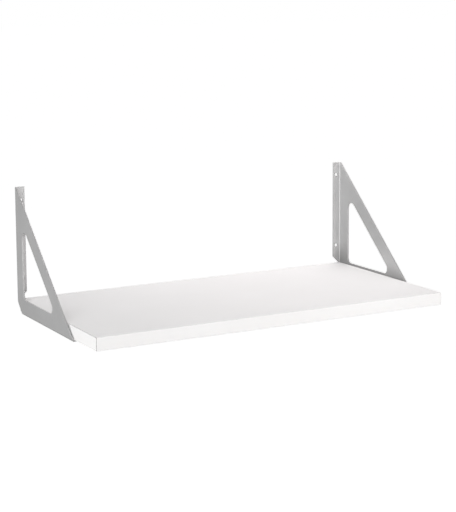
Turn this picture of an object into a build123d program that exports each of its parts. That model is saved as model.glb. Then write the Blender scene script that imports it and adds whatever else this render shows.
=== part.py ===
from build123d import *
import os

# Wall shelf: a faced board that two folded sheet-metal brackets carry by its ends.
# X runs along the wall, +Y points into the wall and +Z is up. The origin is the middle of
# the four wall holes, on the wall plane. Every size is in millimetres.

# Shelf board: a chipboard core with a facing above and below and a band on each edge
board_length = 600.0
board_depth = 300.0
core_thickness = 18.0
facing_thickness = 1.0
band_thickness = 1.0
arris_radius = 0.4

# Bracket: one sheet with a triangular web, a fold to the wall and a fold under the board
sheet = 2.5
inner_bend = 1.0
bracket_height = 201.0
bracket_depth = 224.0
flange_width = 16.0
flange_corner_radius = 0.5
corner_relief = 17.5

# Window in the web, by the width of the strip that is left on each of its sides
back_strip = 28.5
base_strip = 25.5
brace_strip = 24.0
window_radius = 9.0
window_top_radius = 11.0

# Wall holes in each bracket
wall_hole_diameter = 5.5
wall_hole_below_top = 21.5
wall_hole_above_foot = 53.5

# Pan-head screws that hold the board down on the lower flanges
screw_length = 16.0
screw_neck_diameter = 3.5
screw_root_diameter = 2.4
screw_point_length = 4.0
screw_head_diameter = 7.0
screw_head_height = 2.4
screw_head_rim = 0.8
recess_span = 3.6
recess_slot = 0.9
recess_depth = 1.4
recess_taper = 12.0
front_screw_margin = 33.0
rear_screw_margin = 27.0

# Clearances of the fits
end_clearance = 0.2
back_clearance = 0.2
screw_hole_clearance = 0.25
pilot_clearance = 0.05
pilot_end_clearance = 1.0

# How far each cutting shape reaches past what it cuts
cut_margin = 1.0

# Sizes that follow from the ones above
outer_bend = inner_bend + sheet
board_thickness = core_thickness + 2 * facing_thickness
core_length = board_length - 2 * band_thickness
core_depth = board_depth - 2 * band_thickness
half_width = board_length / 2 + inner_bend + end_clearance + sheet
wall_hole_pitch = bracket_height - wall_hole_below_top - wall_hole_above_foot
bracket_top = wall_hole_pitch / 2 + wall_hole_below_top
bracket_bottom = bracket_top - bracket_height
board_bottom = bracket_bottom + sheet
core_bottom = board_bottom + facing_thickness
board_back = -(sheet + back_clearance)
board_middle = board_back - board_depth / 2
hole_inset = (outer_bend + flange_width) / 2
screw_x = half_width - hole_inset
rear_screw_y = -(corner_relief + flange_width + rear_screw_margin)
front_screw_y = -(bracket_depth - front_screw_margin)
neck_hole_radius = screw_neck_diameter / 2 + screw_hole_clearance
pilot_radius = screw_root_diameter / 2 + pilot_clearance
pilot_reach = screw_length - sheet + pilot_end_clearance
screw_seats = [
    (side_name + "_" + place, Pos(side * screw_x, y, bracket_bottom))
    for side_name, side in (("left", -1), ("right", 1))
    for place, y in (("front", front_screw_y), ("rear", rear_screw_y))
]


def outline(*points):
    """Flat face inside a closed run of straight lines."""
    return make_face(Polyline(*points, close=True))


def folded_flange(run):
    """Fold and flange along +Z, with the flange's back on y = 0 and its lower end mitred."""
    bend_centre = (outer_bend, -outer_bend)
    outer_arc = CenterArc(bend_centre, outer_bend, 90, 90)
    inner_arc = CenterArc(bend_centre, inner_bend, 90, 90)
    free_edge = Polyline(outer_arc @ 0, (flange_width, 0), (flange_width, -sheet), inner_arc @ 0)
    section = make_face([outer_arc, free_edge, inner_arc, Line(inner_arc @ 1, outer_arc @ 1)])
    flange = extrude(section, run)
    far_x = flange_width + cut_margin
    below_mitre = outline(
        (-cut_margin, -cut_margin),
        (far_x, -cut_margin),
        (far_x, corner_relief + far_x),
        (-cut_margin, corner_relief - cut_margin),
    )
    flange -= extrude(Plane.XZ * below_mitre, outer_bend + cut_margin, both=True)
    free_corner = flange.edges().filter_by(Axis.Y).group_by(Axis.Z)[-1].sort_by(Axis.X)[-1]
    return fillet(free_corner, flange_corner_radius)


def window_face():
    """Triangular window whose long side runs beside the brace, with a larger round in its upper corner."""
    top = Vector(-outer_bend, bracket_height)
    tip = Vector(-bracket_depth, outer_bend)
    along = (tip - top).normalized()
    brace_edge = top + Vector(-along.Y, along.X) * brace_strip
    slope = along.Y / along.X
    upper = (-back_strip, brace_edge.Y + slope * (-back_strip - brace_edge.X))
    front = (brace_edge.X + (base_strip - brace_edge.Y) / slope, base_strip)
    lower = (-back_strip, base_strip)
    window = outline(lower, front, upper)
    window = fillet(window.vertices().sort_by(Axis.Y)[-1], window_top_radius)
    return fillet(window.vertices().sort_by(Axis.Y)[:2], window_radius)


def left_bracket():
    """Web with its window, and the two folds, which mirror each other across the corner."""
    web_face = outline(
        (-outer_bend, bracket_height),
        (-bracket_depth, outer_bend),
        (-corner_relief, outer_bend),
        (-outer_bend, corner_relief),
    )
    web = extrude(Plane.YZ * (web_face - window_face()), sheet)
    wall_fold = folded_flange(bracket_height)
    corner_bisector = Plane((0, 0, 0), z_dir=(0, 1, 1))
    base_fold = mirror(folded_flange(bracket_depth), about=corner_bisector)
    wall_hole = Cylinder(wall_hole_diameter / 2, 2 * (sheet + cut_margin), rotation=(90, 0, 0))
    for z in (wall_hole_above_foot, wall_hole_above_foot + wall_hole_pitch):
        wall_fold -= Pos(hole_inset, 0, z) * wall_hole
    for y in (rear_screw_y, front_screw_y):
        base_fold -= Pos(hole_inset, y, 0) * Cylinder(neck_hole_radius, 2 * (sheet + cut_margin))
    return Pos(-half_width, 0, bracket_bottom) * (web + wall_fold + base_fold)


def panel(length, depth, thickness, x, y, bottom):
    """Square-edged board with its middle at x, y and its underside at the height given."""
    upright = (Align.CENTER, Align.CENTER, Align.MIN)
    return Pos(x, y, bottom) * Box(length, depth, thickness, align=upright)


def pilot_drillings():
    """Blind holes that the screws cut their way into, measured up from the bracket's foot."""
    upright = (Align.CENTER, Align.CENTER, Align.MIN)
    drill = Pos(0, 0, sheet) * Cylinder(pilot_radius, pilot_reach, align=upright)
    return [seat * drill for _, seat in screw_seats]


def end_band(side):
    """Band over a whole end of the board, with its four outer edges softened."""
    x = side * (board_length - band_thickness) / 2
    band = panel(band_thickness, board_depth, board_thickness, x, board_middle, board_bottom)
    outer_face = band.faces().sort_by(Axis.X)[-1 if side > 0 else 0]
    return fillet(outer_face.edges(), arris_radius)


def long_band(side):
    """Band between the end bands on the front or back, with its two long edges softened."""
    y = board_middle + side * (board_depth - band_thickness) / 2
    band = panel(core_length, band_thickness, board_thickness, 0, y, board_bottom)
    outer_face = band.faces().sort_by(Axis.Y)[-1 if side > 0 else 0]
    return fillet(outer_face.edges().filter_by(Axis.X), arris_radius)


def board_pieces():
    """Core, facings and edge bands of the shelf board, by name."""
    core = panel(core_length, core_depth, core_thickness, 0, board_middle, core_bottom)
    top = panel(core_length, core_depth, facing_thickness, 0, board_middle, core_bottom + core_thickness)
    bottom = panel(core_length, core_depth, facing_thickness, 0, board_middle, board_bottom)
    return {
        "board_core": core - pilot_drillings(),
        "top_facing": top,
        "bottom_facing": bottom - pilot_drillings(),
        "front_edge_band": long_band(-1),
        "back_edge_band": long_band(1),
        "left_edge_band": end_band(-1),
        "right_edge_band": end_band(1),
    }


def shelf_screw():
    """Screw that points up from a head seated at z = 0, with a cross recess in its dome."""
    head_radius = screw_head_diameter / 2
    neck_radius = screw_neck_diameter / 2
    root_radius = screw_root_diameter / 2
    rim = (head_radius, -screw_head_rim)
    dome = TangentArc((0, -screw_head_height), rim, tangent=(1, 0))
    shank = Polyline(
        rim,
        (head_radius, 0),
        (neck_radius, 0),
        (neck_radius, sheet),
        (root_radius, sheet),
        (root_radius, screw_length - screw_point_length),
        (0, screw_length),
        (0, -screw_head_height),
    )
    body = revolve(Plane.XZ * make_face([dome, shank]), Axis.Z)
    cross = Rectangle(recess_span, recess_slot) + Rectangle(recess_slot, recess_span)
    recess = extrude(Pos(0, 0, -screw_head_height) * cross, recess_depth, taper=recess_taper)
    return body - recess


def shelf():
    """Every piece of the shelf in place, by name."""
    pieces = board_pieces()
    pieces["left_bracket"] = left_bracket()
    pieces["right_bracket"] = mirror(pieces["left_bracket"], about=Plane.YZ)
    for place, seat in screw_seats:
        pieces[place + "_shelf_screw"] = seat * shelf_screw()
    return pieces


os.makedirs("parts", exist_ok=True)
for name, piece in shelf().items():
    export_step(piece, f"parts/{name}.step")
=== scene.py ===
"""Looks of a wall shelf: a faced white board that two folded sheet-metal brackets carry by its ends.

Every length is in metres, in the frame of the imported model: X runs along the wall, +Y points into the
wall, +Z is up, and the origin is the middle of the four wall holes.
"""

import logging
import math
from collections.abc import Iterator
from dataclasses import dataclass, field, replace
from enum import Enum, IntEnum, StrEnum

import bpy
import numpy as np
from bpy.types import Material, Node, NodeSocket, NodeTree, Object
from mathutils import Matrix, Vector
from mathutils.geometry import delaunay_2d_cdt


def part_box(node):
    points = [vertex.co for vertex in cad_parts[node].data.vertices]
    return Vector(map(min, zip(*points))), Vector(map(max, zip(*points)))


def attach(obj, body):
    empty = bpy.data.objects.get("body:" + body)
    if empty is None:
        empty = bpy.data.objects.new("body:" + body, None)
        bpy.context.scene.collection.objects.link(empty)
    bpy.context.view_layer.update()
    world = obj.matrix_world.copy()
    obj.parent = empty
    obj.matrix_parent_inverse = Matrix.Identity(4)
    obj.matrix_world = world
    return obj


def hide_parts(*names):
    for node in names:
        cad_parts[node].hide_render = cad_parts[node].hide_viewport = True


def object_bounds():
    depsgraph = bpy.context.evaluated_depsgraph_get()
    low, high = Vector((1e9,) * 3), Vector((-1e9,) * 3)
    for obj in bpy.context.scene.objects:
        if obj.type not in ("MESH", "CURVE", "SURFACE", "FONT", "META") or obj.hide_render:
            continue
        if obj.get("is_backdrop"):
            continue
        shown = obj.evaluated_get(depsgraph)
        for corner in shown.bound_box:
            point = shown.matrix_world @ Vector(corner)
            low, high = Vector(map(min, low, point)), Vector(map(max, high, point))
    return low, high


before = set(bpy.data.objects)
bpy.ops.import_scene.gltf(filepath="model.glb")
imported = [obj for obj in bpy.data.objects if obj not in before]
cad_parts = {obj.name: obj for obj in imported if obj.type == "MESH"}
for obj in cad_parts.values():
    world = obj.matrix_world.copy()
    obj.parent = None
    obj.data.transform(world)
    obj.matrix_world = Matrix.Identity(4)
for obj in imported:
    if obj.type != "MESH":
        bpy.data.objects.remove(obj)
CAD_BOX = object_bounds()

MM = 0.001
QUARTER_TURN = math.pi / 2.0
FULL_TURN = 2.0 * math.pi
LOG = logging.getLogger("wall_shelf")
EDGE_MASK = "edge_mask"
# Mask of the painted highlight inside the brackets' bends
FOLD_HIGHLIGHT_MASK = "fold_highlight_mask"

# Points that lie closer together than this count as one
TOUCH = 1e-7

Colour = tuple[float, float, float, float]
Sockets = bpy.types.bpy_prop_collection


class Side(Enum):
    """An end of the shelf, by the sign of its X."""

    LEFT = -1
    RIGHT = 1

    @property
    def word(self) -> str:
        """The side's name as the nodes use it."""
        return self.name.lower()


class Axis(IntEnum):
    """An axis of the frame, by its place in a point."""

    X = 0
    Y = 1
    Z = 2


class Slot(StrEnum):
    """A material slot of the record."""

    BOARD = "board_white"
    EDGE = "edge_white"
    BRACKET = "bracket_grey"
    SCREW = "screw_steel"


class Grain(StrEnum):
    """A layer of a finish's grain."""

    CLOUD = "Cloud"
    SPECKLE = "Speckle"


# Surfaces


@dataclass
class Surface:
    """A closed surface as arrays.

    Attributes:
        points: One row of X, Y, Z for each point.
        faces: One row of three point numbers for each triangle, anticlockwise seen from outside.
        masks: By name, one value for each point that says where a finish changes.
        normals: One outward unit vector for each point, or None where the faces give them.
    """

    points: np.ndarray
    faces: np.ndarray
    masks: dict[str, np.ndarray]
    normals: np.ndarray | None = None

    def welded(self) -> "Surface":
        """Joins points that coincide and drops the triangles that this leaves without area.

        Returns:
            The surface with each place held by one point.
        """
        keys = np.round(self.points / TOUCH).astype(np.int64)
        _, first, number = np.unique(keys, axis=0, return_index=True, return_inverse=True)
        faces = number.reshape(-1)[self.faces]
        a, b, c = faces.T
        whole = (a != b) & (b != c) & (c != a)
        normals = None if self.normals is None else self.normals[first]
        masks = {name: mask[first] for name, mask in self.masks.items()}
        return Surface(self.points[first], faces[whole], masks, normals)

    def mirrored(self) -> "Surface":
        """The surface across the plane X = 0.

        Returns:
            A surface whose faces are turned so that they still point outwards.
        """
        flip = np.array((-1.0, 1.0, 1.0))
        normals = None if self.normals is None else self.normals * flip
        return Surface(self.points * flip, self.faces[:, ::-1], self.masks, normals)


def grid_faces(rows: int, columns: int, closed: bool = False) -> np.ndarray:
    """Triangles of a grid of points that is stored row after row.

    Args:
        rows: How many rows of points there are.
        columns: How many points a row has.
        closed: True where the last column joins the first.

    Returns:
        Two triangles for each cell, wound from row to row and then from column to column.
    """
    cells_across = columns if closed else columns - 1
    row, column = np.meshgrid(np.arange(rows - 1), np.arange(cells_across), indexing="ij")
    after = (column + 1) % columns
    a, b = row * columns + column, (row + 1) * columns + column
    c, d = (row + 1) * columns + after, row * columns + after
    return np.stack((a, b, c, a, c, d), axis=-1).reshape(-1, 3)


def smooth_step(value: np.ndarray) -> np.ndarray:
    """Eased step 3t^2 - 2t^3 of the value, held between 0 and 1."""
    held = np.clip(value, 0.0, 1.0)
    return held * held * (3.0 - 2.0 * held)


def box_corners(node: str) -> list[np.ndarray]:
    """Lowest and highest corner of a node's box."""
    return [np.array(corner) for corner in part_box(node)]


def add_piece(name: str, surface: Surface, material: Material, slot: Slot, node: str) -> Object:
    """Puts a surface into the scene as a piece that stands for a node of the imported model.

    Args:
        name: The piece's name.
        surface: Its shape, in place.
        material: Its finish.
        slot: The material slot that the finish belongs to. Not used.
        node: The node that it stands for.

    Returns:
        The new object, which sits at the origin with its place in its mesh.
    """
    mesh = bpy.data.meshes.new(name)
    mesh.from_pydata(surface.points.tolist(), [], surface.faces.tolist())
    mesh.shade_smooth()
    for key, values in surface.masks.items():
        mesh.attributes.new(key, "FLOAT", "POINT").data.foreach_set("value", values.astype(np.float32))
    if surface.normals is not None:
        mesh.normals_split_custom_set_from_vertices(surface.normals.tolist())
    mesh.materials.append(material)
    piece = bpy.data.objects.new(name, mesh)
    bpy.context.scene.collection.objects.link(piece)
    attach(piece, "root")
    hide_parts(node)
    return piece


def dress(node: str, material: Material) -> Object:
    """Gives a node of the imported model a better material.

    Args:
        node: The node.
        material: Its finish.

    Returns:
        The node's object.
    """
    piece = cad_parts[node]
    for slot in piece.material_slots:
        slot.material = material
    return piece


# Shader graphs


class Graph:
    """A shader tree with short calls that add and link its nodes."""

    def __init__(self, tree: NodeTree) -> None:
        """Takes the tree over and empties it."""
        self.tree = tree
        tree.nodes.clear()

    def add(self, kind: str, inputs: dict | None = None, **settings: object) -> Node:
        """Adds a node.

        Args:
            kind: The node's type name, without the leading ShaderNode.
            inputs: What each input takes, by name or number: a socket to link, or a plain value.
            settings: Properties of the node itself.

        Returns:
            The new node.
        """
        node = self.tree.nodes.new(kind if kind.startswith("NodeGroup") else "ShaderNode" + kind)
        for key, value in settings.items():
            setattr(node, key, value)
        for key, value in (inputs or {}).items():
            self.feed(node.inputs[key], value)
        return node

    def feed(self, socket: NodeSocket, value: object) -> None:
        """Links an input, or sets it.

        Args:
            socket: The input.
            value: The socket to link it to, or its plain value.
        """
        if isinstance(value, NodeSocket):
            self.tree.links.new(value, socket)
        else:
            socket.default_value = value

    def maths(self, operation: str, *values: object) -> NodeSocket:
        """Result of a Math node on up to three values."""
        return self.add("Math", dict(enumerate(values)), operation=operation).outputs[0]

    def product(self, first: object, second: object, third: object) -> NodeSocket:
        """Three values multiplied together."""
        return self.maths("MULTIPLY", self.maths("MULTIPLY", first, second), third)

    def ramp(self, value: object, low: float, high: float, to_low: float, to_high: float) -> NodeSocket:
        """Result of a clamped Map Range node from one span of values to another."""
        spans = {"Value": value, "From Min": low, "From Max": high, "To Min": to_low, "To Max": to_high}
        return self.add("MapRange", spans).outputs["Result"]

    def noise(self, scale: object, detail: float) -> NodeSocket:
        """Noise on Object coordinates."""
        where = self.add("TexCoord").outputs["Object"]
        return self.add("TexNoise", {"Vector": where, "Scale": scale, "Detail": detail}).outputs["Fac"]

    def parts(self, vector: NodeSocket) -> Sockets:
        """The X, Y and Z of a vector."""
        return self.add("SeparateXYZ", {0: vector}).outputs

    def normal(self) -> Sockets:
        """The X, Y and Z of the surface's normal."""
        return self.parts(self.add("NewGeometry").outputs["Normal"])

    def attribute(self, name: str) -> NodeSocket:
        """A mask of the mesh."""
        return self.add("Attribute", attribute_name=name).outputs["Fac"]

    def mixed(self, share: object, first: object, second: object) -> NodeSocket:
        """Colour between two others by a share from 0 to 1, on a Mix node's numbered colour sockets."""
        return self.add("Mix", {0: share, 6: first, 7: second}, data_type="RGBA").outputs[2]

    def place(self, group: NodeTree, **inputs: object) -> Sockets:
        """Outputs of a shared node group, whose inputs are named with underscores for spaces."""
        named = {key.replace("_", " "): value for key, value in inputs.items()}
        return self.add("Group", named, node_tree=group).outputs

    def bump(self, height: NodeSocket, relief: float, strength: float = 1.0) -> NodeSocket:
        """Normal of a surface that is raised by a height."""
        raised = {"Height": height, "Distance": relief, "Strength": strength}
        return self.add("Bump", raised).outputs["Normal"]


def new_group(
    name: str, inputs: dict[str, float], outputs: tuple[str, ...]
) -> tuple[Graph, Sockets, Sockets]:
    """Starts a shader node group whose sockets are all plain values.

    Args:
        name: The group's name.
        inputs: The name and first value of each input.
        outputs: The name of each output.

    Returns:
        The group's graph, what it is given and what it results in.
    """
    tree = bpy.data.node_groups.new(name, "ShaderNodeTree")
    for key, value in inputs.items():
        tree.interface.new_socket(key, in_out="INPUT", socket_type="NodeSocketFloat").default_value = value
    for key in outputs:
        tree.interface.new_socket(key, in_out="OUTPUT", socket_type="NodeSocketFloat")
    graph = Graph(tree)
    return graph, graph.add("NodeGroupInput").outputs, graph.add("NodeGroupOutput").inputs


def grain_group() -> NodeTree:
    """Slow clouding and fine speckle: two noises, each stretched to the span from 0 to 1.

    Returns:
        The node group.
    """
    low, high = 0.3, 0.7
    graph, given, result = new_group(
        "finish_grain", {"Cloud Scale": 12.0, "Speckle Scale": 1800.0}, tuple(Grain)
    )
    for layer, detail in ((Grain.CLOUD, 3.0), (Grain.SPECKLE, 2.0)):
        noise = graph.noise(given[layer + " Scale"], detail)
        graph.feed(result[layer], graph.ramp(noise, low, high, 0.0, 1.0))
    return graph.tree


def peel_group() -> NodeTree:
    """Height of a sprayed or pressed skin: broad noise plus a share of fine noise.

    Returns:
        The node group.
    """
    graph, given, result = new_group(
        "skin_peel", {"Ripple Scale": 500.0, "Grit Scale": 3500.0, "Grit Share": 0.3}, ("Height",)
    )
    ripple = graph.noise(given["Ripple Scale"], detail=1.0)
    grit = graph.noise(given["Grit Scale"], detail=2.0)
    share = graph.maths("MULTIPLY", grit, given["Grit Share"])
    graph.feed(result["Height"], graph.maths("ADD", ripple, share))
    return graph.tree


def dust_group() -> NodeTree:
    """Settled dust: the normal's upward share, raised to a power, times drifting noise and the amount.

    Returns:
        The node group.
    """
    steepness, bare, heaped, least = 4.0, 0.35, 0.7, 0.3
    graph, given, result = new_group("settled_dust", {"Drift Scale": 30.0, "Amount": 0.1}, ("Mask",))
    facing = graph.maths("POWER", graph.maths("MAXIMUM", graph.normal()["Z"], 0.0), steepness)
    drifts = graph.ramp(graph.noise(given["Drift Scale"], detail=5.0), bare, heaped, least, 1.0)
    graph.feed(result["Mask"], graph.product(facing, drifts, given["Amount"]))
    return graph.tree


def edge_group() -> NodeTree:
    """Change on rounded edges or in seams: the mesh's edge mask times noise and the amount. On the board it
    darkens the joints, and on the brackets it is painted shade on the cut edges.

    Returns:
        The node group.
    """
    broken, whole, least = 0.3, 0.65, 0.2
    graph, given, result = new_group("seams_and_painted_edge_shade", {"Break Scale": 300.0, "Amount": 0.3}, ("Mask",))
    breaks = graph.ramp(graph.noise(given["Break Scale"], detail=4.0), broken, whole, least, 1.0)
    graph.feed(result["Mask"], graph.product(graph.attribute(EDGE_MASK), breaks, given["Amount"]))
    return graph.tree


@dataclass(frozen=True)
class SharedEffects:
    """Node groups that several finishes place with their own values."""

    grain: NodeTree = field(default_factory=grain_group)
    peel: NodeTree = field(default_factory=peel_group)
    dust: NodeTree = field(default_factory=dust_group)
    edges: NodeTree = field(default_factory=edge_group)


def new_material(name: str) -> tuple[Material, Graph, Sockets]:
    """Starts a material that holds one Principled shader.

    Args:
        name: The material's name.

    Returns:
        The material, its graph and the shader's inputs.
    """
    material = bpy.data.materials.new(name)
    material.use_nodes = True
    graph = Graph(material.node_tree)
    shader = graph.add("BsdfPrincipled")
    graph.add("OutputMaterial", {"Surface": shader.outputs["BSDF"]})
    return material, graph, shader.inputs


def grey(level: float, warmth: float = 0.0) -> Colour:
    """Colour of one level, with red raised and blue lowered by the warmth."""
    return (level * (1.0 + warmth), level, level * (1.0 - warmth), 1.0)


# Finishes


@dataclass(frozen=True)
class Ground:
    """What the layers of a finish are laid on.

    Attributes:
        graph: The material's graph.
        effects: The shared node groups.
        grain: The clouds and specks of the finish.
    """

    graph: Graph
    effects: SharedEffects
    grain: Sockets


@dataclass(frozen=True, kw_only=True)
class Layer:
    """A colour that hides part of what is below it.

    Attributes:
        level: Grey level.
        warmth: Warmth of that level.
    """

    level: float
    warmth: float = 0.0

    def share(self, ground: Ground) -> NodeSocket:
        """Share that the layer hides, which each kind of layer works out in its own way."""
        raise NotImplementedError


@dataclass(frozen=True, kw_only=True)
class Specks(Layer):
    """Fine specks, which show from a start in the grain's speckle on and hide at most a share."""

    start: float
    most: float

    def share(self, ground: Ground) -> NodeSocket:
        """Share that the specks hide."""
        return ground.graph.ramp(ground.grain[Grain.SPECKLE], self.start, 1.0, 0.0, self.most)


@dataclass(frozen=True, kw_only=True)
class Edges(Layer):
    """A change on rounded edges or in seams, with a number of breaks in each metre."""

    breaks: float
    amount: float

    def share(self, ground: Ground) -> NodeSocket:
        """Share that the edges hide."""
        given = {"Break_Scale": self.breaks, "Amount": self.amount}
        return ground.graph.place(ground.effects.edges, **given)["Mask"]


@dataclass(frozen=True, kw_only=True)
class PaintedFoldHighlight(Layer):
    """A painted highlight: a lighter line inside each bend, where the bend catches the light."""

    def share(self, ground: Ground) -> NodeSocket:
        """Share that the painted highlight hides."""
        return ground.graph.attribute(FOLD_HIGHLIGHT_MASK)


@dataclass(frozen=True, kw_only=True)
class Dust(Layer):
    """Settled dust on what faces up, with a number of drifts in each metre."""

    drifts: float
    amount: float

    def share(self, ground: Ground) -> NodeSocket:
        """Share that the dust hides."""
        given = {"Drift_Scale": self.drifts, "Amount": self.amount}
        return ground.graph.place(ground.effects.dust, **given)["Mask"]


@dataclass(frozen=True, kw_only=True)
class PaintedContactShade(Layer):
    """Painted shade where a bracket's inner side meets the board: darkest at the board's top, it stands in
    for the shade in that corner.

    Attributes:
        amount: Most that it hides.
        foot: Height that it starts from, which is the board's top.
        front_rise: How far up it reaches at the brackets' front.
        back_rise: How far up it reaches at the wall.
        reach: Distance from the wall to the brackets' front.
        half_length: Distance from the shelf's middle to a bracket.
        ahead: How far looking to the front counts as looking inwards.
        facing: How far a face looks inwards where grime starts, and where it is full.
    """

    amount: float = 0.47
    foot: float = -94.0 * MM
    front_rise: float = 20.0 * MM
    back_rise: float = 42.0 * MM
    reach: float = 224.0 * MM
    half_length: float = 300.0 * MM
    ahead: float = 0.6
    facing: tuple[float, float] = (0.3, 0.9)

    def share(self, ground: Ground) -> NodeSocket:
        """Share that the painted shade hides.

        The share falls from full at the board's top to none at the painted shade's height, which grows
        towards the wall. It holds in full on what looks inwards, where X times the normal's X is below
        zero, and by half on what looks to the front.

        Args:
            ground: What the painted shade is laid on.

        Returns:
            The share, from 0 to 1.
        """
        graph = ground.graph
        where, faces = graph.parts(graph.add("TexCoord").outputs["Object"]), graph.normal()
        top = graph.ramp(where["Y"], -self.reach, 0.0, self.front_rise, self.back_rise)
        height = graph.maths("SUBTRACT", where["Z"], self.foot)
        left = graph.maths("SUBTRACT", 1.0, graph.maths("DIVIDE", height, top))
        fade = graph.add("MapRange", {"Value": left}, interpolation_type="SMOOTHSTEP").outputs["Result"]
        inwards = graph.product(where["X"], faces["X"], -1.0 / self.half_length)
        to_front = graph.maths("MULTIPLY", faces["Y"], -self.ahead)
        facing = graph.ramp(graph.maths("MAXIMUM", inwards, to_front), *self.facing, 0.0, 1.0)
        return graph.product(fade, facing, self.amount)


@dataclass(frozen=True, kw_only=True)
class Finish:
    """A surface of clouded colour under layers, with an uneven blur and a rippled skin.

    Attributes:
        name: The material's name.
        tones: Level and warmth where clouding darkens the colour, and where it lightens it.
        layers: What lies over that colour, from the lowest layer up.
        clouds: Clouds in each metre.
        specks: Specks in each metre.
        roughness: Least and most blur of its reflections.
        blurred_by: Layer of the grain that this blur follows.
        ripple: Ripples of its skin in each metre.
        grit: Grains on these in each metre.
        grit_share: Height of the grit over that of the ripples.
        relief: Height of the skin.
        metallic: Share of light that it mirrors as metal does.
        shine: Level of its other mirror reflection.
    """

    name: str
    tones: tuple[tuple[float, float], tuple[float, float]]
    layers: tuple[Layer, ...]
    clouds: float
    specks: float
    roughness: tuple[float, float]
    blurred_by: Grain
    ripple: float
    grit: float
    grit_share: float
    relief: float
    metallic: float = 0.0
    shine: float = 0.5

    def material(self, effects: SharedEffects) -> Material:
        """The finish as a material.

        Args:
            effects: The shared node groups.

        Returns:
            The material.
        """
        material, graph, shader = new_material(self.name)
        grain = graph.place(effects.grain, Cloud_Scale=self.clouds, Speckle_Scale=self.specks)
        colour = graph.mixed(grain[Grain.CLOUD], *(grey(*tone) for tone in self.tones))
        ground = Ground(graph, effects, grain)
        for layer in self.layers:
            colour = graph.mixed(layer.share(ground), colour, grey(layer.level, layer.warmth))
        skin = {"Ripple_Scale": self.ripple, "Grit_Scale": self.grit, "Grit_Share": self.grit_share}
        for key, value in {
            "Base Color": colour,
            "Roughness": graph.ramp(grain[self.blurred_by], 0.0, 1.0, *self.roughness),
            "Metallic": self.metallic,
            "Specular IOR Level": self.shine,
            "Normal": graph.bump(graph.place(effects.peel, **skin)["Height"], self.relief),
        }.items():
            graph.feed(shader[key], value)
        return material


LAMINATE = Finish(
    name="white_laminate",
    tones=((0.8274, 0.001), (0.8484, 0.0005)),
    layers=(
        Specks(level=0.798, warmth=0.001, start=0.7, most=0.25),
        Edges(level=0.15, warmth=0.001, breaks=220.0, amount=1.8),
        Dust(level=0.7, warmth=0.02, drifts=18.0, amount=0.05),
    ),
    clouds=7.0,
    specks=1500.0,
    roughness=(0.57, 0.63),
    blurred_by=Grain.CLOUD,
    ripple=900.0,
    grit=4500.0,
    grit_share=0.25,
    relief=0.006 * MM,
    shine=0.2,
)
EDGE_BAND = replace(
    LAMINATE,
    name="white_edge_band",
    tones=((0.8471, 0.01), (0.8686, 0.005)),
    layers=(
        Specks(level=0.817, warmth=0.01, start=0.7, most=0.25),
        Edges(level=0.15, warmth=0.01, breaks=220.0, amount=1.8),
        Dust(level=0.7, warmth=0.02, drifts=18.0, amount=0.05),
    ),
    roughness=(0.47, 0.53),
    ripple=1400.0,
    grit=7000.0,
    relief=0.004 * MM,
    shine=0.25,
)
POWDER_COAT = Finish(
    name="silver_grey_powder_coat",
    tones=((0.494, 0.0), (0.546, 0.0)),
    layers=(
        Specks(level=0.702, start=0.55, most=0.35),
        # Painted shade: the brackets' cut edges a little darker than the coat, standing in for the shade on
        # the rims
        Edges(level=0.48, breaks=260.0, amount=1.0),
        # Painted highlight: a lighter line inside each bend
        PaintedFoldHighlight(level=0.7),
        Dust(level=0.62, warmth=0.02, drifts=40.0, amount=0.08),
        # Painted shade on the brackets' inner faces just above the board's top
        PaintedContactShade(level=0.1, warmth=0.02),
    ),
    clouds=14.0,
    specks=2400.0,
    roughness=(0.38, 0.47),
    blurred_by=Grain.SPECKLE,
    ripple=620.0,
    grit=4200.0,
    grit_share=0.35,
    relief=0.012 * MM,
    metallic=0.5,
)
ZINC_PLATE = Finish(
    name="zinc_plate",
    tones=((0.62, -0.04), (0.6696, 0.05)),
    layers=(Edges(level=0.8, breaks=900.0, amount=0.5),),
    clouds=400.0,
    specks=6000.0,
    roughness=(0.22, 0.42),
    blurred_by=Grain.SPECKLE,
    ripple=2600.0,
    grit=9000.0,
    grit_share=0.5,
    relief=0.006 * MM,
    metallic=1.0,
)


@dataclass(frozen=True)
class Chipboard:
    """Raw chipboard: pale and dark wood chips pressed together.

    Attributes:
        chips: Chips in each metre.
        squeeze: Factors of that number along X, Y and Z.
        dark: Colour of the darkest chips.
        pale: Colour of the palest chips.
        speck: Colour of the specks.
        specks: Specks in each metre.
        speck_start: Speckle of the grain from which they show.
        speck_most: Most that a speck hides.
        roughness: Blur of its reflections.
        relief: Height of a chip.
        relief_share: How fully that height tilts the light.
    """

    chips: float = 260.0
    squeeze: tuple[float, float, float] = (0.5, 1.0, 1.8)
    dark: Colour = (0.36, 0.23, 0.12, 1.0)
    pale: Colour = (0.72, 0.55, 0.36, 1.0)
    speck: Colour = (0.24, 0.15, 0.08, 1.0)
    specks: float = 2200.0
    speck_start: float = 0.5
    speck_most: float = 0.4
    roughness: float = 0.85
    relief: float = 0.15 * MM
    relief_share: float = 0.6

    def material(self, effects: SharedEffects) -> Material:
        """The finish as a material.

        Args:
            effects: The shared node groups.

        Returns:
            A material of cells of wood colour, each chip a shade of its own.
        """
        material, graph, shader = new_material("raw_chipboard")
        where = graph.add("TexCoord").outputs["Object"]
        spaced = graph.add("Mapping", {"Vector": where, "Scale": self.squeeze}).outputs["Vector"]
        cells = graph.add("TexVoronoi", {"Vector": spaced, "Scale": self.chips, "Randomness": 1.0}).outputs
        chip = graph.mixed(graph.parts(cells["Color"])["X"], self.dark, self.pale)
        speckle = graph.place(effects.grain, Speckle_Scale=self.specks)[Grain.SPECKLE]
        specks = graph.ramp(speckle, self.speck_start, 1.0, 0.0, self.speck_most)
        graph.feed(shader["Base Color"], graph.mixed(specks, chip, self.speck))
        graph.feed(shader["Roughness"], self.roughness)
        graph.feed(shader["Normal"], graph.bump(cells["Distance"], self.relief, self.relief_share))
        return material


# Board


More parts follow.
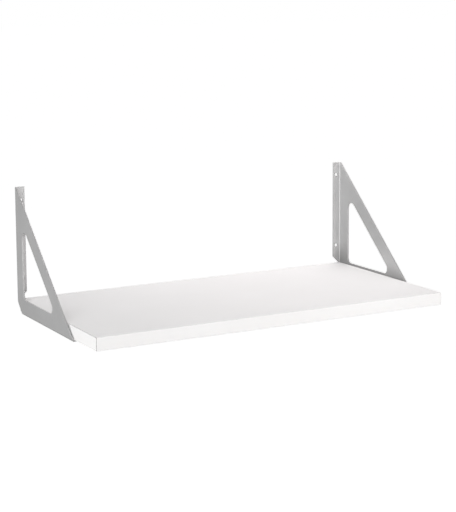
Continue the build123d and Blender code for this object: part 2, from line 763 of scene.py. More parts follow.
@dataclass(frozen=True)
class EasedPanel:
    """A thin panel whose edges are rounded, more on its outer face than where it meets its neighbours.

    Attributes:
        low: Lowest corner.
        high: Highest corner.
        across: The axis that the panel is thin along.
        outward: Sign of the direction along that axis that its outer face looks in.
        arris: Edge radius on the outer face.
        joint: Edge radius where the panel meets another.
        ends: The axis along whose ends the panel meets others, or None.
        taper: Length over which the edge radius changes towards those ends.
        arc_steps: How many flats make up a round.
        seams: Edge mask in the seams at the board's left and right end.
        faint: Edge mask on every other round.
    """

    low: np.ndarray
    high: np.ndarray
    across: Axis
    outward: int
    arris: float
    joint: float
    ends: Axis | None = None
    taper: float = 3.0 * MM
    arc_steps: int = 4
    seams: tuple[float, float] = (1.0, 0.2)
    faint: float = 0.15

    def radius_at(self, points: np.ndarray) -> np.ndarray:
        """Edge radius at points of the plain box.

        The radius eases from the joint's on the inner face to the arris on the outer one, and back to the
        joint's within the taper's length of the ends.

        Args:
            points: The points.

        Returns:
            One radius for each point.
        """
        low, high = self.low[self.across], self.high[self.across]
        share = (points[:, self.across] - low) / (high - low)
        weight = smooth_step(share if self.outward > 0 else 1.0 - share)
        if self.ends is not None:
            place = points[:, self.ends]
            to_end = np.minimum(place - self.low[self.ends], self.high[self.ends] - place)
            weight = weight * smooth_step(to_end / self.taper)
        return self.joint + (self.arris - self.joint) * weight

    def seam_mask(self, points: np.ndarray, radius: np.ndarray, outward: np.ndarray) -> np.ndarray:
        """Edge mask at points of the eased box.

        A seam has the joint's radius and a normal that leans along X. The mask is that end's seam value
        there, faint on every other round, and none on flats.

        Args:
            points: The points.
            radius: Edge radius at each point.
            outward: Normal at each point.

        Returns:
            One value for each point.
        """
        near_joint, least_lean, flat = 1.2 * self.joint, 0.05, 0.999
        lean = np.abs(outward)
        seam = (radius < near_joint) & (lean[:, Axis.X] > least_lean)
        value = np.where(seam, np.where(points[:, Axis.X] < 0.0, *self.seams), self.faint)
        return np.where(lean.max(axis=1) < flat, value, 0.0)

    def stations(self, axis: int) -> np.ndarray:
        """Places where the box is cut: close together near its ends, and none between.

        Args:
            axis: The axis that the cuts follow each other along.

        Returns:
            The places in order.
        """
        near = np.linspace(0.0, max(self.arris, self.joint), self.arc_steps + 1)
        if axis == self.ends:
            near = np.concatenate((near, np.linspace(near[-1], self.taper, self.arc_steps + 1)[1:]))
        return np.unique(np.concatenate((self.low[axis] + near, self.high[axis] - near)))

    def surface(self) -> Surface:
        """The panel's skin.

        A point q of the plain box is clamped to the box shrunk by the edge radius r, which gives c, and
        moves to c + r (q - c) / |q - c|: flats stay, and edges become rounds of that radius.

        Returns:
            The closed surface, with its edge mask set on the seams and rounds.
        """
        sheets, faces, start = [], [], 0
        for axis in Axis:
            first, second = (axis + 1) % 3, (axis + 2) % 3
            one, two = np.meshgrid(self.stations(first), self.stations(second), indexing="ij")
            cells = grid_faces(*one.shape)
            for corner, turned in ((self.low, cells[:, ::-1]), (self.high, cells)):
                sheet = np.empty((one.size, 3))
                sheet[:, axis], sheet[:, first], sheet[:, second] = corner[axis], one.ravel(), two.ravel()
                sheets.append(sheet)
                faces.append(turned + start)
                start += one.size
        plain = np.concatenate(sheets)
        radius = self.radius_at(plain)[:, None]
        core = np.clip(plain, self.low + radius, self.high - radius)
        reach = np.linalg.norm(plain - core, axis=1, keepdims=True)
        outward = (plain - core) / reach
        mask = self.seam_mask(plain, radius[:, 0], outward)
        return Surface(core + radius * outward, np.concatenate(faces), {EDGE_MASK: mask}, outward).welded()


@dataclass
class Board:
    """The shelf board: a chipboard core, a facing above and below and a band on each edge.

    Attributes:
        laminate: Finish of the facings.
        band: Finish of the edge bands.
        core: Finish of the core.
        arris: Edge radius on the board's outer edges.
        joint: Edge radius where a band meets a facing or another band.
    """

    laminate: Material
    band: Material
    core: Material
    arris: float = 0.4 * MM
    joint: float = 0.25 * MM

    def build(self) -> Iterator[Object]:
        """Makes the eased facing and bands, and dresses the core and the lower facing.

        Returns:
            The board's pieces, one after the other.
        """
        facing = (self.joint, self.laminate, Slot.BOARD)
        banding = (self.arris, self.band, Slot.EDGE)
        for node, across, outward, ends, (arris, material, slot) in (
            ("top_facing", Axis.Z, 1, None, facing),
            ("front_edge_band", Axis.Y, -1, Axis.X, banding),
            ("back_edge_band", Axis.Y, 1, Axis.X, banding),
            ("left_edge_band", Axis.X, -1, None, banding),
            ("right_edge_band", Axis.X, 1, None, banding),
        ):
            panel = EasedPanel(*box_corners(node), across, outward, arris, self.joint, ends)
            yield add_piece("eased_" + node, panel.surface(), material, slot, node)
        yield dress("bottom_facing", self.laminate)
        yield dress("board_core", self.core)


# Brackets


@dataclass(frozen=True)
class Loop:
    """A closed outline on the flat blank, with the blank on its left hand.

    Attributes:
        points: Places on the blank, one row each.
        spread: For each point, the move that shifts both of its sides outwards by 1.
    """

    points: np.ndarray
    spread: np.ndarray

    @classmethod
    def through(cls, points: np.ndarray) -> "Loop":
        """Outline through points.

        The spread at a point is the sum of its two sides' outward normals over 1 plus their cosine.

        Args:
            points: The points in order.

        Returns:
            The outline.
        """
        side = np.roll(points, -1, axis=0) - points
        side /= np.linalg.norm(side, axis=1, keepdims=True)
        after = np.stack((side[:, 1], -side[:, 0]), axis=1)
        before = np.roll(after, 1, axis=0)
        cosine = (after * before).sum(axis=1, keepdims=True)
        return cls(points, (after + before) / (1.0 + cosine))

    def shrunk(self, by: float) -> "Loop":
        """The outline moved inwards by a length, with the same spread."""
        return Loop(self.points - by * self.spread, self.spread)

    def cut(self, axis: int, lines: np.ndarray) -> "Loop":
        """Adds a point wherever the outline crosses one of the lines.

        Args:
            axis: Number of the coordinate that each line holds constant.
            lines: The constant of each line.

        Returns:
            The finer outline, with the spread of each new point between its neighbours'.
        """
        end = 1e-6
        rows = np.concatenate((self.points, self.spread), axis=1)
        ahead = np.roll(rows, -1, axis=0)
        rise = ahead[:, axis] - rows[:, axis]
        share = (lines - rows[:, axis, None]) / np.where(rise == 0.0, np.inf, rise)[:, None]
        side, line = np.nonzero((share > end) & (share < 1.0 - end))
        part = share[side, line]
        added = rows[side] + part[:, None] * (ahead - rows)[side]
        added[:, axis] = lines[line]
        order = np.argsort(np.concatenate((np.arange(len(rows)), side + part)))
        rows = np.concatenate((rows, added))[order]
        return Loop(rows[:, :2], rows[:, 2:])


def rounded_outline(
    corners: list[tuple[float, float, float]], step: float = math.radians(6.0)
) -> np.ndarray:
    """Points of a closed outline with an arc in each corner.

    An arc's centre lies on the corner's bisector, at the radius over the sine of half the corner's angle.
    About it, the arc runs through half a turn less that angle.

    Args:
        corners: Place and radius of each corner, in order.
        step: Largest turn between two points of an arc.

    Returns:
        The points of all arcs in order, which straight lines join.
    """
    places = np.array([corner[:2] for corner in corners])
    arcs = []
    for number, (place, (_, _, radius)) in enumerate(zip(places, corners)):
        back, on = places[number - 1] - place, places[(number + 1) % len(places)] - place
        back, on = back / np.linalg.norm(back), on / np.linalg.norm(on)
        half = math.acos(np.clip(back @ on, -1.0, 1.0)) / 2.0
        middle = (back + on) / np.linalg.norm(back + on)
        centre = place + middle * radius / math.sin(half)
        turn = math.pi - 2.0 * half
        angles = np.linspace(-turn / 2.0, turn / 2.0, math.ceil(turn / step) + 1)[:, None]
        ahead = (on - back) / np.linalg.norm(on - back)
        arcs.append(centre - radius * np.cos(angles) * middle + radius * np.sin(angles) * ahead)
    return np.concatenate(arcs)


def round_hole(centre: tuple[float, float], radius: float, count: int = 48) -> np.ndarray:
    """Points at a radius round a hole's centre, clockwise, so that the blank is on the left hand."""
    turn = -np.linspace(0.0, FULL_TURN, count, endpoint=False)
    return np.array(centre) + radius * np.stack((np.cos(turn), np.sin(turn)), axis=1)


def inside(points: np.ndarray, outline: np.ndarray) -> np.ndarray:
    """Whether points lie inside a closed outline, by the sides that a line to the right crosses.

    Args:
        points: The points.
        outline: Points of the outline in order.

    Returns:
        True or False for each point.
    """
    x, y = points[:, None, 0], points[:, None, 1]
    x0, y0 = outline.T
    x1, y1 = np.roll(outline, -1, axis=0).T
    spans = (y0 > y) != (y1 > y)
    rise = np.where(y1 == y0, 1.0, y1 - y0)
    crossed = spans & (x < x0 + (y - y0) * (x1 - x0) / rise)
    return crossed.sum(axis=1) % 2 == 1


@dataclass
class FoldedBracket:
    """A bracket: one flat blank with a window and holes, folded to the wall and under the board.

    The blank lies in the plane of the web. Its first coordinate runs towards the wall and its second up,
    both from the corner where the outer faces of the two flanges would meet.

    Attributes:
        depth: Reach from the wall.
        height: Height of the bracket.
        flange: Width of each flange, over the bend.
        sheet: Thickness of the metal.
        inner_bend: Radius inside each bend.
        corner_cut: Length that the blank's cut corner takes off each outer face.
        free_corner: Radius of a flange's free corner.
        small_corner: Radius of the other corners.
        back_strip: Width left between window and wall.
        base_strip: Width left between window and foot.
        brace_strip: Width left between window and sloping edge.
        window_corner: Radius in the window's lower corners.
        window_top: Radius in its upper corner.
        wall_hole: Radius of the wall holes.
        wall_holes_up: Height of each wall hole above the foot.
        screw_hole: Radius of the holes for the shelf screws.
        screw_holes_out: Distance of each of these from the wall.
        edge_round: Radius that the coat leaves on cut edges.
        round_steps: How many flats make up a quarter round of such an edge.
        bend_steps: How many flats make up a bend.
    """

    depth: float
    height: float
    flange: float
    sheet: float = 2.5 * MM
    inner_bend: float = 1.0 * MM
    corner_cut: float = 21.0 * MM
    free_corner: float = 0.5 * MM
    small_corner: float = 0.6 * MM
    back_strip: float = 28.5 * MM
    base_strip: float = 25.5 * MM
    brace_strip: float = 24.0 * MM
    window_corner: float = 9.0 * MM
    window_top: float = 11.0 * MM
    wall_hole: float = 2.75 * MM
    wall_holes_up: tuple[float, ...] = (53.5 * MM, 179.5 * MM)
    screw_hole: float = 2.0 * MM
    screw_holes_out: tuple[float, ...] = (60.5 * MM, 191.0 * MM)
    edge_round: float = 0.4 * MM
    round_steps: int = 4
    bend_steps: int = 12

    @property
    def outer_bend(self) -> float:
        """Radius outside each bend."""
        return self.inner_bend + self.sheet

    @property
    def middle_bend(self) -> float:
        """Radius of the sheet's middle in each bend."""
        return self.inner_bend + self.sheet / 2.0

    @property
    def bend_run(self) -> float:
        """Length of the sheet's middle round each bend."""
        return self.middle_bend * QUARTER_TURN

    @property
    def bend_lines(self) -> np.ndarray:
        """First coordinates of the lines that divide the wall bend. The other bend's are the negatives."""
        return np.linspace(0.0, self.bend_run, self.bend_steps + 1) - self.outer_bend

    def on_blank(self, across: float) -> float:
        """First coordinate of a place on the wall flange, from its distance to the web's outer face."""
        return self.bend_run + across - 2.0 * self.outer_bend

    def outer_edge(self) -> np.ndarray:
        """Outer edge of the blank.

        The free edges of the flanges lie as far out as they are when the bends are unrolled, and the corner
        between the flanges is cut on a line at 45 degrees.

        Returns:
            Its points, anticlockwise from the top of the wall flange.
        """
        free, cut, small = self.on_blank(self.flange), self.corner_cut, self.small_corner
        return rounded_outline([
            (free, self.height, self.free_corner),
            (-self.outer_bend, self.height, small),
            (-self.depth, self.outer_bend, small),
            (-self.depth, -free, self.free_corner),
            (-free - cut, -free, small),
            (free, free + cut, small),
        ])

    def window_edge(self) -> np.ndarray:
        """Edge of the window.

        Its long side is the sloping edge of the web moved inwards by the brace strip, and its other sides
        are the lines at the back strip and the base strip.

        Returns:
            Its points, clockwise.
        """
        top = np.array((-self.outer_bend, self.height))
        tip = np.array((-self.depth, self.outer_bend))
        along = (tip - top) / np.linalg.norm(tip - top)
        beside = top + self.brace_strip * np.array((-along[1], along[0]))
        slope = along[1] / along[0]
        upper = beside[1] + slope * (-self.back_strip - beside[0])
        front = beside[0] + (self.base_strip - beside[1]) / slope
        return rounded_outline([
            (-self.back_strip, self.base_strip, self.window_corner),
            (front, self.base_strip, self.window_corner),
            (-self.back_strip, upper, self.window_top),
        ])

    def hole_edges(self) -> list[np.ndarray]:
        """Edges of the wall holes and the screw holes, each in the middle of its flange's flat.

        Returns:
            The points of each edge, clockwise.
        """
        middle = self.on_blank((self.outer_bend + self.flange) / 2.0)
        wall = [round_hole((middle, up), self.wall_hole) for up in self.wall_holes_up]
        foot = [round_hole((-out, -middle), self.screw_hole) for out in self.screw_holes_out]
        return wall + foot

    def past_bends(self, blank: np.ndarray) -> np.ndarray:
        """Length by which places on the blank lie past the start of each bend."""
        return np.stack((blank[:, 0] + self.outer_bend, self.outer_bend - blank[:, 1]), axis=1)

    def turns(self, blank: np.ndarray) -> np.ndarray:
        """Angle by which each bend has turned at places on the blank, from none to a quarter turn."""
        return np.clip(self.past_bends(blank) / self.middle_bend, 0.0, QUARTER_TURN)

    def fold_highlight_mask(self, blank: np.ndarray, lift: np.ndarray) -> np.ndarray:
        """Mask of the painted highlight inside the bends, at places on the blank.

        Sine of twice the bend's angle, which is none at both ends of a bend and full half way, times the
        depth below the sheet's middle over half its thickness, and none above the middle.

        Args:
            blank: Places on the blank.
            lift: Height of each above the sheet's middle, towards the outside of the bends.

        Returns:
            One value for each place, from 0 on flats to 1 inside a bend.
        """
        return np.sin(2.0 * self.turns(blank)).sum(axis=1) * np.maximum(-lift, 0.0) / (self.sheet / 2.0)

    def folded(self, blank: np.ndarray, lift: np.ndarray) -> tuple[np.ndarray, np.ndarray]:
        """Where points of the blank lie once it is folded.

        Past a bend's start, a length along the sheet's middle turns by itself over the middle radius, up to
        a quarter turn, about the bend's axis and at the middle radius plus the lift from it. What is left
        of the length runs on straight.

        Args:
            blank: Places on the blank.
            lift: Height of each above the sheet's middle, towards the outside of the bends.

        Returns:
            Points with X inwards from the web's outer face, Y towards the wall and Z up from the foot, and
            for each point the folded directions of the blank's two coordinates and of the lift.
        """
        past, turn = self.past_bends(blank), self.turns(blank)
        sine, cosine = np.sin(turn), np.cos(turn)
        flat, straight = np.minimum(past, 0.0), np.maximum(past - self.bend_run, 0.0)
        radius = self.middle_bend + lift
        both, none = cosine.prod(axis=1), np.zeros(len(blank))
        points = np.stack((
            self.outer_bend - radius * both + straight.sum(axis=1),
            flat[:, 0] + radius * sine[:, 0] - self.outer_bend,
            self.outer_bend - flat[:, 1] - radius * sine[:, 1],
        ), axis=1)
        to_wall = np.stack((sine[:, 0], cosine[:, 0], none), axis=1)
        up = np.stack((-sine[:, 1], none, cosine[:, 1]), axis=1)
        out = np.stack((-both, sine[:, 0], -sine[:, 1]), axis=1)
        return points, np.stack((to_wall, up, out), axis=1)

    def flat_faces(self, loops: list[Loop]) -> np.ndarray:
        """Triangles of the blank's flat side.

        The outlines and the bend lines are the fixed sides of a Delaunay triangulation.

        Args:
            loops: The outer edge first, then the window and the holes.

        Returns:
            Rows of three point numbers, anticlockwise, with the points of all loops counted in order.
        """
        sides, start, edge = [], 0, loops[0].points
        for loop in loops:
            numbers = np.arange(start, start + len(loop.points))
            sides.append(np.stack((numbers, np.roll(numbers, -1)), axis=1))
            start += len(numbers)
        for axis, lines in ((0, self.bend_lines), (1, -self.bend_lines)):
            for line in lines:
                on_line = np.nonzero(np.abs(edge[:, axis] - line) < TOUCH)[0]
                sides.append(on_line[[0, -1]][None, :])
        points = np.concatenate([loop.points for loop in loops])
        within_edges, slack = 1, 1e-9
        found = delaunay_2d_cdt(points.tolist(), np.concatenate(sides).tolist(), [], within_edges, slack)
        triangles = np.array(found[2])
        middles = points[triangles].mean(axis=1)
        for loop in loops[1:]:
            keep = ~inside(middles, loop.points)
            triangles, middles = triangles[keep], middles[keep]
        return triangles

    def rim_profile(self) -> np.ndarray:
        """Profile round a cut edge: a quarter round at each side of the sheet, and the straight between.

        Returns:
            One row for each point: its reach outwards, its lift, and the same two parts of its normal.
        """
        turn = np.linspace(0.0, QUARTER_TURN, self.round_steps + 1)
        turn = np.concatenate((turn, turn + QUARTER_TURN))
        straight = np.where(np.arange(len(turn)) <= self.round_steps, 1.0, -1.0)
        straight *= self.sheet / 2.0 - self.edge_round
        out, lift = np.sin(turn), np.cos(turn)
        return np.stack((self.edge_round * out, straight + self.edge_round * lift, out, lift), axis=1)

    def surface(self) -> Surface:
        """The bracket with its web's outer face on X = 0, its wall face on Y = 0 and its foot on Z = 0.

        The rim's profile is carried along every outline of the blank, which gives a grid of points. Its
        first and last rows also carry the triangles of the two flat sides. The whole is then folded.

        Returns:
            The closed surface, with its edge mask set on the rim and its mask of painted highlight in the
            bends.
        """
        outlines = [self.outer_edge(), self.window_edge(), *self.hole_edges()]
        loops = [Loop.through(points).shrunk(self.edge_round) for points in outlines]
        loops[0] = loops[0].cut(0, self.bend_lines).cut(1, -self.bend_lines)
        points = np.concatenate([loop.points for loop in loops])
        spread = np.concatenate([loop.spread for loop in loops])
        profile = self.rim_profile()
        rows, count = len(profile), len(points)
        reach, lift, out, up = (profile[:, [part]] for part in range(4))
        blank = (points[None] + reach[:, :, None] * spread[None]).reshape(-1, 2)
        lifts = np.repeat(lift, count, axis=1).ravel()
        places, axes = self.folded(blank, lifts)
        way = spread / np.linalg.norm(spread, axis=1, keepdims=True)
        flat_parts = (out[:, :, None] * way[None]).reshape(-1, 2)
        parts = np.column_stack((flat_parts, np.repeat(up, count, axis=1).ravel()))
        normals = (parts[:, :, None] * axes).sum(axis=1)
        flat = self.flat_faces(loops)
        faces, start = [flat[:, ::-1], flat + (rows - 1) * count], 0
        for loop in loops:
            number = len(loop.points)
            cells = grid_faces(rows, number, closed=True)[:, ::-1]
            faces.append(cells // number * count + cells % number + start)
            start += number
        rim = np.ones((rows, count))
        rim[[0, -1]] = 0.0
        masks = {EDGE_MASK: rim.ravel(), FOLD_HIGHLIGHT_MASK: self.fold_highlight_mask(blank, lifts)}
        return Surface(places, np.concatenate(faces), masks, normals)


@dataclass
class BracketPair:
    """The two brackets, which mirror each other.

    Attributes:
        coat: Their finish.
    """

    coat: Material

    def build(self) -> Iterator[Object]:
        """Makes both brackets in the places of their nodes.

        Returns:
            The brackets, one after the other.
        """
        low, high = box_corners("left_bracket")
        flange, depth, height = high - low
        shape = FoldedBracket(depth, height, flange).surface()
        shape.points += np.array((low[Axis.X], high[Axis.Y], low[Axis.Z]))
        for side, surface in ((Side.LEFT, shape), (Side.RIGHT, shape.mirrored())):
            node = side.word + "_bracket"
            yield add_piece("folded_" + node, surface, self.coat, Slot.BRACKET, node)


# Screws


@dataclass
class ShelfScrew:
    """A pan-head screw that points up from a head seated at Z = 0.

    Attributes:
        length: Length under the head.
        head: Radius of the head.
        head_height: Height of the head.
        head_rim: Height of the straight rim under its dome.
        rim_cut: Size of the cut that softens the rim's upper edge.
        neck: Radius of the plain neck.
        neck_length: Length of that neck.
        shoulder: Length over which the neck narrows to the root.
        lead: Distance from the neck to the first ring of the thread.
        root: Radius between the turns of the thread.
        crest: Radius on the turns of the thread.
        ridge: Share of a turn that its ridge takes up.
        pitch: Distance from turn to turn.
        point: Length of the point.
        recess_span: Length of an arm of the cross recess, from end to end.
        recess_slot: Width of an arm.
        recess_depth: Depth of the recess.
        recess_wall: Width of its sloping walls.
        rings: How many rings the dome's middle, the rest of it and a turn of the thread have.
        columns: How many points a ring has.
    """

    length: float = 16.0 * MM
    head: float = 3.5 * MM
    head_height: float = 2.4 * MM
    head_rim: float = 0.8 * MM
    rim_cut: float = 0.15 * MM
    neck: float = 1.75 * MM
    neck_length: float = 2.5 * MM
    shoulder: float = 0.3 * MM
    lead: float = 0.4 * MM
    root: float = 1.2 * MM
    crest: float = 1.7 * MM
    ridge: float = 0.45
    pitch: float = 1.3 * MM
    point: float = 4.0 * MM
    recess_span: float = 3.6 * MM
    recess_slot: float = 0.9 * MM
    recess_depth: float = 1.4 * MM
    recess_wall: float = 0.2 * MM
    rings: tuple[int, int, int] = (36, 10, 10)
    columns: int = 64

    def dome(self, turn: np.ndarray) -> tuple[np.ndarray, np.ndarray]:
        """Rings of the head's dome.

        The dome is a cap of a sphere. Inside the cross, its height is raised by the distance to the cross's
        edge over the width of the recess's walls, up to the recess's depth.

        Args:
            turn: Angle of each column.

        Returns:
            The radius and the height of each point, by ring and column.
        """
        rise = self.head_height - self.head_rim
        ball = (self.head**2 + rise**2) / (2.0 * rise)
        past_cross = 0.6 * self.recess_span
        fine = np.linspace(0.0, past_cross, self.rings[0])
        radius = np.concatenate((fine, np.linspace(past_cross, self.head, self.rings[1])[1:]))[:, None]
        height = -self.head_height + ball - np.sqrt(ball**2 - radius**2)
        across, along = np.abs(radius * np.cos(turn)), np.abs(radius * np.sin(turn))
        arm, slot = self.recess_span / 2.0, self.recess_slot / 2.0
        one = np.minimum(slot - across, arm - along)
        two = np.minimum(slot - along, arm - across)
        within = np.clip(np.maximum(one, two) / self.recess_wall, 0.0, 1.0)
        return np.repeat(radius, len(turn), axis=1), height + self.recess_depth * within

    def shank(self, turn: np.ndarray) -> tuple[np.ndarray, np.ndarray]:
        """Rings of the rim, the neck and the thread.

        The thread's radius is the root's plus a ridge: a tent over the share of a turn by which the height
        over the pitch runs ahead of the angle, faded in after the neck and out along the point.

        Args:
            turn: Angle of each column.

        Returns:
            The radius and the height of each point, by ring and column.
        """
        plain = np.array((
            (self.head, -self.head_rim),
            (self.head, -self.rim_cut),
            (self.head - self.rim_cut, 0.0),
            (self.neck, 0.0),
            (self.neck, self.neck_length),
            (self.root, self.neck_length + self.shoulder),
        ))
        start = self.neck_length + self.lead
        height = np.arange(start, self.length, self.pitch / self.rings[2])[:, None]
        left = np.clip((self.length - height) / self.point, 0.0, 1.0)
        phase = (height / self.pitch - turn / FULL_TURN) % 1.0
        ridge = np.clip(1.0 - np.abs(2.0 * phase - 1.0) / self.ridge, 0.0, 1.0)
        fade = smooth_step((height - plain[-1, 1]) / self.pitch) * np.sqrt(left)
        threaded = self.root * left + (self.crest - self.root) * fade * ridge
        ones, tip = np.ones(len(turn)), np.zeros((1, len(turn)))
        radius = np.concatenate((plain[:, :1] * ones, threaded, tip))
        return radius, np.concatenate((plain[:, 1:] * ones, height * ones, tip + self.length))

    def surface(self, seat: np.ndarray) -> Surface:
        """The whole screw as rings of points round Z, from the dome's middle to the point.

        Args:
            seat: The place that its head seats on.

        Returns:
            The closed surface, with its edge mask set round the head's rim.
        """
        turn = np.linspace(0.0, FULL_TURN, self.columns, endpoint=False)
        radius, height = (np.concatenate(pair) for pair in zip(self.dome(turn), self.shank(turn)))
        points = np.stack((radius * np.cos(turn), radius * np.sin(turn), height), axis=-1).reshape(-1, 3)
        faces = grid_faces(*radius.shape, closed=True)[:, ::-1]
        rim = (np.abs(radius - self.head) < 2.0 * self.rim_cut).astype(float).ravel()
        return Surface(points + seat, faces, {EDGE_MASK: rim}).welded()


@dataclass
class ScrewSet:
    """The four screws that hold the board down on the lower flanges.

    Attributes:
        plating: Their finish.
    """

    plating: Material

    def build(self) -> Iterator[Object]:
        """Makes each screw in the place of its node, with its head under the lower flange.

        Returns:
            The screws, one after the other.
        """
        shape = ShelfScrew()
        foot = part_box("left_bracket")[0].z
        for side in Side:
            for place in ("front", "rear"):
                node = f"{side.word}_{place}_shelf_screw"
                low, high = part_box(node)
                middle = (low + high) / 2.0
                surface = shape.surface(np.array((middle.x, middle.y, foot)))
                yield add_piece("threaded_" + node, surface, self.plating, Slot.SCREW, node)


# Studio


@dataclass(frozen=True)
class Softbox:
    """A square soft light that faces the shelf and that no camera sees.

    Attributes:
        name: Its name.
        azimuth: Degrees from the front, positive towards the right.
        elevation: Degrees above the horizon.
        distance: Distance from the point that it faces.
        size: Length of its sides.
        radiance: Brightness of its face, where 1 is white.
        tint: Its colour.
        aim: The point that it faces, or None for the shelf's middle.
    """

    name: str
    azimuth: float
    elevation: float
    distance: float
    size: float
    radiance: float
    tint: tuple[float, float, float] = (1.0, 1.0, 1.0)
    aim: tuple[float, float, float] | None = None

    def build(self, middle: Vector) -> None:
        """Puts the light into the scene, with a power of pi times its radiance and its area.

        Args:
            middle: The shelf's middle.
        """
        aim = middle if self.aim is None else Vector(self.aim)
        azimuth, elevation = math.radians(self.azimuth), math.radians(self.elevation)
        level = math.cos(elevation)
        away = Vector((math.sin(azimuth) * level, -math.cos(azimuth) * level, math.sin(elevation)))
        data = bpy.data.lights.new(self.name, "AREA")
        data.shape, data.size = "SQUARE", self.size
        data.energy = self.radiance * math.pi * self.size**2
        data.color = self.tint
        light = bpy.data.objects.new(self.name, data)
        turn = away.to_track_quat("Z", "Y").to_matrix().to_4x4()
        light.matrix_world = Matrix.Translation(aim + away * self.distance) @ turn
        light.visible_camera = False
        bpy.context.scene.collection.objects.link(light)


@dataclass(frozen=True)
class PhotoCamera:
    """The camera at the photograph's place.

    Attributes:
        place: Where it stands.
        yaw: Degrees that it is turned from +Y towards +X.
        pitch: Degrees that it looks down.
        roll: Degrees that it leans.
        focal: Focal length in pixels of the picture.
        axis_up: How many pixels above the picture's middle the lens points, which keeps uprights upright.
        picture: Width and height of the picture in pixels.
        sensor: Length on the sensor of the picture's longer side, in millimetres.
        sight: How far it sees.
    """

    place: tuple[float, float, float] = (-1.0941, -2.1561, 0.3998)
    yaw: float = 28.528
    pitch: float = 7.693
    roll: float = -0.41
    focal: float = 1462.7
    axis_up: float = 76.0
    picture: tuple[int, int] = (456, 512)
    sensor: float = 36.0
    sight: float = 200.0

    def build(self) -> None:
        """Puts the camera into the scene and makes it the scene's own."""
        yaw, pitch, roll = (math.radians(angle) for angle in (self.yaw, self.pitch, self.roll))
        ahead = Vector((math.sin(yaw) * math.cos(pitch), math.cos(yaw) * math.cos(pitch), -math.sin(pitch)))
        level = Vector((math.cos(yaw), -math.sin(yaw), 0.0))
        upright = level.cross(ahead)
        right = math.cos(roll) * level + math.sin(roll) * upright
        up = math.cos(roll) * upright - math.sin(roll) * level
        data = bpy.data.cameras.new("photo_camera")
        data.sensor_width = self.sensor
        data.lens = self.focal / max(self.picture) * self.sensor
        data.shift_y = -self.axis_up / max(self.picture)
        data.clip_end = self.sight
        camera = bpy.data.objects.new("photo_camera", data)
        turn = Matrix((right, up, -ahead)).transposed().to_4x4()
        camera.matrix_world = Matrix.Translation(self.place) @ turn
        bpy.context.scene.collection.objects.link(camera)
        bpy.context.scene.camera = camera


@dataclass
class Studio:
    """Plain white surroundings: a pale floor far below, an even sky and soft lights.

    Attributes:
        lights: The soft lights.
        ambient: Brightness of the surroundings as the shelf's light.
        floor_drop: How far below the shelf the floor lies.
        floor_reach: How far the floor runs each way.
        floor_level: Grey level of the floor.
    """

    lights: tuple[Softbox, ...]
    ambient: float = 0.2
    floor_drop: float = 1.4
    floor_reach: float = 60.0
    floor_level: float = 0.9

    def build(self) -> None:
        """Makes the sky, the floor, the lights and the camera."""
        bpy.context.scene.view_settings.view_transform = "Standard"
        low, high = CAD_BOX
        self.build_sky()
        self.build_floor(low.z - self.floor_drop)
        for light in self.lights:
            light.build((low + high) / 2.0)
        PhotoCamera().build()

    def build_sky(self) -> None:
        """Even surroundings that the camera sees as white and that light the shelf by the ambient."""
        world = bpy.data.worlds.new("white_surroundings")
        world.use_nodes = True
        bpy.context.scene.world = world
        graph = Graph(world.node_tree)
        seen = graph.add("Background", {"Color": grey(1.0), "Strength": 1.0})
        lit = graph.add("Background", {"Color": grey(1.0), "Strength": self.ambient})
        by_camera = graph.add("LightPath").outputs["Is Camera Ray"]
        mix = graph.add("MixShader", {0: by_camera, 1: lit.outputs[0], 2: seen.outputs[0]})
        graph.add("OutputWorld", {"Surface": mix.outputs[0]})

    def build_floor(self, height: float) -> None:
        """Wide white floor that only the camera sees and that is no part of the shelf.

        It glows by what the ambient light leaves short of white.

        Args:
            height: Where it lies.
        """
        reach = np.array((-self.floor_reach, self.floor_reach))
        x, y = np.meshgrid(reach, reach, indexing="ij")
        points = np.stack((x.ravel(), y.ravel(), np.full(x.size, height)), axis=1)
        mesh = bpy.data.meshes.new("pale_floor")
        mesh.from_pydata(points.tolist(), [], grid_faces(2, 2).tolist())
        material, graph, shader = new_material("pale_floor")
        graph.feed(shader["Base Color"], grey(self.floor_level))
        graph.feed(shader["Emission Color"], grey(1.0))
        graph.feed(shader["Emission Strength"], 1.0 - self.floor_level * self.ambient)
        mesh.materials.append(material)
        floor = bpy.data.objects.new("pale_floor", mesh)
        floor.visible_diffuse = floor.visible_glossy = floor.visible_shadow = False
        bpy.context.scene.collection.objects.link(floor)
        floor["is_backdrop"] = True


WARM = (1.05, 0.985, 0.985)
RIGHT_BRACKET = (0.3, -0.08, 0.0)
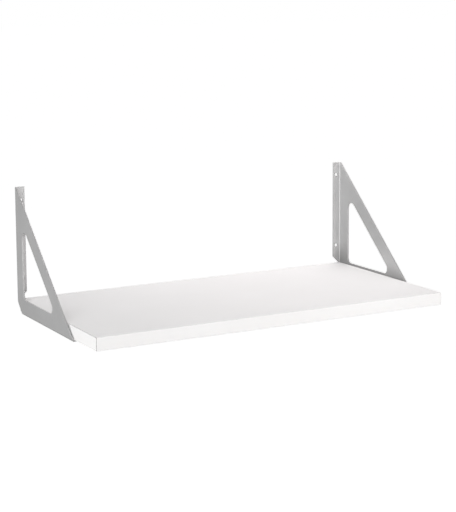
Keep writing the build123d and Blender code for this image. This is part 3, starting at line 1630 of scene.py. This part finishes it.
RIGHT_OF_BOARD = (0.2, -0.1, -0.094)
SOFTBOXES = (
    Softbox("left_low_softbox", -90.0, -22.0, 2.2, 1.8, 2.06),
    Softbox("left_softbox", -60.0, 22.0, 2.2, 1.8, 1.85),
    Softbox("rear_left_softbox", -150.0, 0.0, 2.2, 1.2, 0.29),
    Softbox("front_left_low_softbox", -30.0, 0.0, 2.2, 1.2, 1.24),
    Softbox("front_left_softbox", -30.0, 22.0, 2.2, 1.2, 3.75),
    Softbox("front_right_softbox", 30.0, 0.0, 2.2, 1.2, 1.06, WARM),
    Softbox("right_low_softbox", 110.0, -30.0, 2.2, 1.8, 1.9, WARM),
    Softbox("right_front_low_softbox", 0.0, 0.0, 0.8, 0.5, 1.57, aim=RIGHT_BRACKET),
    Softbox("right_front_softbox", 0.0, 45.0, 0.8, 0.5, 1.34, aim=RIGHT_BRACKET),
    Softbox("rear_top_left_softbox", -150.0, 35.0, 0.7, 0.4, 2.05, aim=RIGHT_OF_BOARD),
    Softbox("rear_top_right_softbox", 150.0, 60.0, 0.7, 0.4, 2.86, WARM, RIGHT_OF_BOARD),
    Softbox("rear_high_softbox", 165.0, 75.0, 0.7, 0.4, 2.39, WARM, RIGHT_OF_BOARD),
)


def write_sizes() -> None:
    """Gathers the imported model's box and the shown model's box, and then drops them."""
    boxes = {"cad": CAD_BOX, "visual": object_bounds()}
    {name: [list(corner) for corner in box] for name, box in boxes.items()}


def main() -> None:
    """Builds the shelf's looks and the studio around it, and reports each piece."""
    logging.basicConfig(level=logging.INFO, format="%(name)s %(message)s")
    effects = SharedEffects()
    for assembly in (
        Board(LAMINATE.material(effects), EDGE_BAND.material(effects), Chipboard().material(effects)),
        BracketPair(POWDER_COAT.material(effects)),
        ScrewSet(ZINC_PLATE.material(effects)),
    ):
        for piece in assembly.build():
            LOG.info("%s: %d faces in %s", piece.name, len(piece.data.polygons), piece.active_material.name)
    Studio(SOFTBOXES).build()


if __name__ == "__main__":
    main()
    write_sizes()
